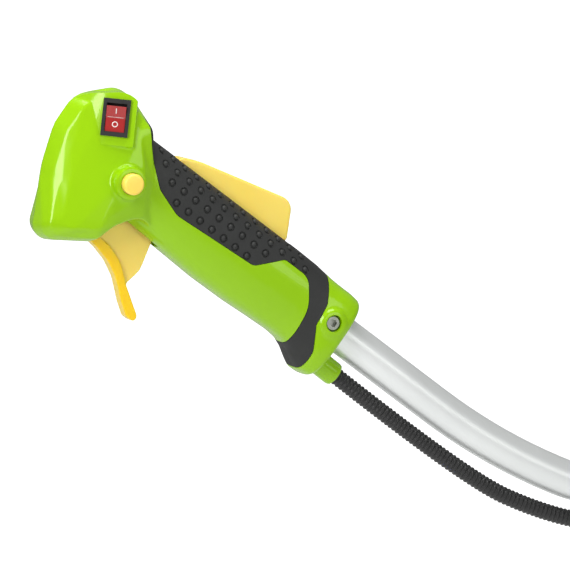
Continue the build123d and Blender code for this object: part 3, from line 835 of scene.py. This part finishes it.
def trigger():
    """A rounded finger bar on a thin web, with the hub and the arm that pulls the cable."""
    arm = box("arm", -3.4, 3.4, 2.6, 6.7, 0, ARM)
    pivot = Matrix.Translation((TRIGGER_PIVOT[0], 0, TRIGGER_PIVOT[1]))
    arm.data.transform(pivot @ Matrix.Rotation(ARM_LEAN, 4, "Y"))
    parts = [
        prism("finger bar", FINGER_BAR, -4.5, 4.5),
        prism("web", WEB, -2.5, 2.5),
        peg("hub", TRIGGER_PIVOT, 5.0, -3.5, 6.7),
        peg("cable boss", NIPPLE_AT, 4.9, 4.4, 11.1),
        arm,
    ]
    blade = softened(joined("trigger_blade", parts), 0.5, 7)
    carve(blade, peg("pivot hole", TRIGGER_PIVOT, 2.15, -20, 20))
    carve(blade, peg("cable socket", NIPPLE_AT, 3.0, 5.0, 12))
    carve(blade, extruded(outline_face("wire way", WIRE_WAY, 5.0), 7))
    return moving(smooth(blade), "trigger", "throttle_trigger", TRIGGER_AMBER)


def lever():
    """The lockout lever, a rounded channel open at the bottom."""
    channel = softened(prism("lever_channel", LEVER, -LEVER_HALF, LEVER_HALF), 0.6, 8)
    carve(channel, prism("room", grown(LEVER, -LEVER_WALL), -LEVER_ROOM, LEVER_ROOM))
    carve(channel, box(*LEVER_MOUTH))
    carve(channel, peg("pivot hole", LEVER_PIVOT, 1.9, -20, 20))
    return moving(smooth(channel), "lever", "lockout_lever", AMBER)


def button():
    """A stem with a rounded end, and a flange behind the shell's wall."""
    stem = peg("button_stem", BUTTON_AT, 6.0, -33.95, -14.8)
    in_edit(stem)
    bpy.ops.mesh.select_all(action="DESELECT")
    done(stem)
    for face in stem.data.polygons:
        face.select = face.normal.y < -0.9
    bpy.ops.object.mode_set(mode="EDIT")
    bpy.ops.mesh.select_mode(type="FACE")
    bpy.ops.mesh.bevel(offset=1.6, segments=6, affect="EDGES")
    done(stem)
    carve(stem, peg("flange", BUTTON_AT, 6.95, -17.2, -15.85), "UNION")
    return moving(smooth(stem, 30), "button", "lock_button", AMBER)


trigger()
lever()
button()

# ---------------------------------------------------------------- marks on the switch
def on_switch(obj, up):
    """Lays a small flat mark on the rocker, where a line square to the panel meets it."""
    panel = HANDLE @ PANEL
    inwards = (panel.to_3x3() @ Vector((0, 0, -1))).normalized()
    right = (panel.to_3x3() @ Vector((1, 0, 0))).normalized()
    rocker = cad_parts["switch_rocker"]
    _, at, normal, _ = rocker.ray_cast(panel @ Vector((0, up, 10)), inwards)
    above = normal.cross(right).normalized()
    turn = Matrix((above.cross(normal), above, normal)).transposed().to_4x4()
    obj.data.transform(Matrix.Translation(at) @ turn @ Matrix.Scale(MM, 4))
    return obj


def switch_marks():
    """I above, O below and a line between."""
    stroke = box("stroke", -0.28, 0.28, -1.5, 1.5, -0.2, 0.05)
    loop = torus(1.4, 0.26, 32, 6)
    loop.data.transform(Matrix.Diagonal((1, 1, 0.3, 1)))
    line = box("line", -4.4, 4.4, -0.1, 0.1, -0.2, 0.05)
    laid = [on_switch(stroke, 3.7), on_switch(loop, -3.7), on_switch(line, 0.2)]
    marks = painted(joined("switch_marks", laid), WHITE_INK)
    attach(marks, "rocker")
    return marks


switch_marks()

# ---------------------------------------------------------------- the CAD nodes that stay
STAYING = {
    "handlebar_tube": ALUMINIUM,
    "trigger_pivot_pin": ZINC,
    "lockout_pivot_pin": ZINC,
    "button_spring_seat": BLACK,
    "trigger_return_spring": SPRING,
    "lockout_spring": SPRING,
    "lock_button_spring": SPRING,
    "switch_housing": BLACK,
    "switch_rocker": RED,
    "switch_terminals": BRASS,
    "throttle_sheath": BLACK,
    "switch_leads": BLUE,
    "lead_connectors": BRASS,
    "throttle_wire_front": STRAND,
    "throttle_wire_rear": STRAND,
    "sheath_ferrule": ZINC,
    "cable_adjuster": BRASS,
    "adjuster_locknut": ZINC,
    "conduit_end_sleeve": BLACK,
    "conduit_clip": BLACK,
    "clip_screw": ZINC,
    "clamp_screw": ZINC,
    "clamp_washer": ZINC,
    "clamp_nut": ZINC,
    "shell_screws": ZINC,
}
for name, material in STAYING.items():
    painted(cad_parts[name], material)

# ---------------------------------------------------------------- the ribbed conduit
# the route's points (x, z) in the handle's frame, from inside the stub to the end sleeve
CONDUIT_ROUTE = [(4, -20.4), (118, -23), (173.8, -11.5), (214.8, 7.2), (230.7, 19.3)]
CONDUIT_RADIUS = 5.0
CONDUIT_BORE = 3.6
RIB_PITCH = 2.75
RIB_HALF = 0.42  # half the depth of a rib
PER_RIB = 6
TUBE_SIDES = 40


def nurbs_points(name, points):
    """The points along a smooth open curve, from control points in the handle's frame."""
    curve = bpy.data.curves.new(name, "CURVE")
    curve.dimensions = "3D"
    curve.resolution_u = 24
    spline = curve.splines.new("NURBS")
    spline.points.add(len(points) - 1)
    for control, point in zip(spline.points, points):
        control.co = (*(HANDLE @ Vector(point)), 1)
    spline.order_u = 3
    spline.use_endpoint_u = True
    obj = bpy.data.objects.new(name, curve)
    bpy.context.collection.objects.link(obj)
    mesh = bpy.data.meshes.new_from_object(obj)
    line = [corner.co.copy() for corner in mesh.vertices]
    bpy.data.meshes.remove(mesh)
    discard(obj)
    return line


def spaced(points, pitch):
    """Points a pitch apart along the line, each with the line's direction there."""
    total = sum((b - a).length for a, b in zip(points, points[1:]))
    count = round(total / pitch)
    step, gone, wanted, placed = total / count, 0.0, 0.0, []
    for start, end in zip(points, points[1:]):
        span = (end - start).length
        while wanted <= gone + span + 1e-9 and len(placed) <= count:
            share = min(1.0, (wanted - gone) / span)
            placed.append((start.lerp(end, share), (end - start).normalized()))
            wanted += step
        gone += span
    return placed


def tube_skin(name, rings):
    """A tube through rings (centre, direction, radius) that run out along it and back inside."""
    bpy.ops.mesh.primitive_circle_add(vertices=TUBE_SIDES, fill_type="NOTHING")
    tube = bpy.context.object
    tube.name = name
    across = Vector((0, 1, 0))
    mesh = bmesh.new()
    loops = []
    for at, way, radius in rings:
        up = way.cross(across).normalized()
        loop = []
        for step in range(TUBE_SIDES):
            angle = 2 * math.pi * step / TUBE_SIDES
            spoke = across * math.cos(angle) + up * math.sin(angle)
            loop.append(mesh.verts.new(at + spoke * radius))
        loops.append(loop)
    for loop, following in zip(loops, loops[1:] + loops[:1]):
        for step in range(TUBE_SIDES):
            after = (step + 1) % TUBE_SIDES
            mesh.faces.new((loop[step], loop[after], following[after], following[step]))
    bmesh.ops.recalc_face_normals(mesh, faces=mesh.faces)
    mesh.to_mesh(tube.data)
    mesh.free()
    return tube


def ribbed_conduit():
    """The corrugated tube along its route, and the points it follows."""
    path = nurbs_points("conduit route", [(x, 0, z) for x, z in CONDUIT_ROUTE])
    stations = spaced(path, RIB_PITCH * MM / PER_RIB)
    rings = []
    for index, (at, way) in enumerate(stations):
        phase = math.cos(2 * math.pi * index / PER_RIB)
        rings.append((at, way, (CONDUIT_RADIUS - RIB_HALF + RIB_HALF * phase) * MM))
    rings += [(at, way, CONDUIT_BORE * MM) for at, way in stations[::-PER_RIB]]
    tube = tube_skin("conduit_ribbed", rings)
    smooth(painted(tube, CONDUIT_BLACK), 60)
    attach(tube, "handle")
    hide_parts("conduit")
    return tube, path


conduit, conduit_path = ribbed_conduit()

# ---------------------------------------------------------------- floor, light and camera
VIEW_CENTRE = Vector((-0.2627, 0.0, 0.1286))
VIEW_WIDTH = 0.322
AZIMUTH, ELEVATION = math.radians(-22), math.radians(8)
LENS, SENSOR = 500.0, 36.0
FLOOR_AT = (-0.2, 0, -0.3)
FLOOR_SIZE = 60
# lights: (name, place, aim, width, height, watts)
SOFTBOXES = [
    ("window", (-1.25, -0.55, 0.55), (-0.38, 0, 0.16), 0.35, 0.75, 8),
    ("fill", (0.3, -1.6, 0.5), (-0.25, 0, 0.1), 1.2, 0.8, 6.5),
    ("top", (-0.35, -0.1, 1.3), (-0.25, 0, 0.1), 1.1, 0.7, 15),
]


def pale_floor():
    """A plain floor that the camera sees white, without lighting the object."""
    bpy.ops.mesh.primitive_plane_add(size=1)
    floor = bpy.context.object
    floor.name = "floor"
    floor.data.transform(Matrix.Translation(FLOOR_AT) @ Matrix.Scale(FLOOR_SIZE, 4))
    material = bpy.data.materials.new("pale floor")
    material.use_nodes = True
    tree = material.node_tree
    shader = tree.nodes["Principled BSDF"]
    shader.inputs["Base Color"].default_value = (0.92, 0.92, 0.92, 1)
    shader.inputs["Roughness"].default_value = 0.9
    shader.inputs["Emission Color"].default_value = (1, 1, 1, 1)
    seen = add(tree, "ShaderNodeLightPath").outputs["Is Camera Ray"]
    tree.links.new(seen, shader.inputs["Emission Strength"])
    painted(floor, material)


def white_world():
    """A white surround that lights the object less than it shows."""
    world = bpy.data.worlds.new("studio")
    world.use_nodes = True
    tree = world.node_tree
    background = tree.nodes["Background"]
    background.inputs["Color"].default_value = (1, 1, 1, 1)
    seen = add(tree, "ShaderNodeLightPath").outputs["Is Camera Ray"]
    inputs = {"Value": seen, "To Min": 0.27, "To Max": 1.0}
    strength = add(tree, "ShaderNodeMapRange", inputs=inputs).outputs["Result"]
    tree.links.new(strength, background.inputs["Strength"])
    bpy.context.scene.world = world
    bpy.context.scene.view_settings.view_transform = "Standard"


def softbox(name, at, aim, width, height, power):
    light = bpy.data.lights.new(name, "AREA")
    light.shape = "RECTANGLE"
    light.size, light.size_y = width, height
    light.energy = power
    obj = bpy.data.objects.new(name, light)
    bpy.context.collection.objects.link(obj)
    obj.location = at
    obj.rotation_euler = (Vector(aim) - Vector(at)).to_track_quat("-Z", "Y").to_euler()


def viewer():
    """The camera: from the nose's side and a little above, with a long lens."""
    level = math.cos(ELEVATION)
    away = Vector((math.sin(AZIMUTH) * level, -math.cos(AZIMUTH) * level, math.sin(ELEVATION)))
    camera = bpy.data.objects.new("camera", bpy.data.cameras.new("camera"))
    bpy.context.collection.objects.link(camera)
    camera.data.lens = LENS
    camera.data.sensor_width = SENSOR
    camera.location = VIEW_CENTRE + away * (VIEW_WIDTH * LENS / SENSOR)
    camera.rotation_euler = (-away).to_track_quat("-Z", "Y").to_euler()
    bpy.context.scene.camera = camera


pale_floor()
white_world()
for softbox_facts in SOFTBOXES:
    softbox(*softbox_facts)
viewer()
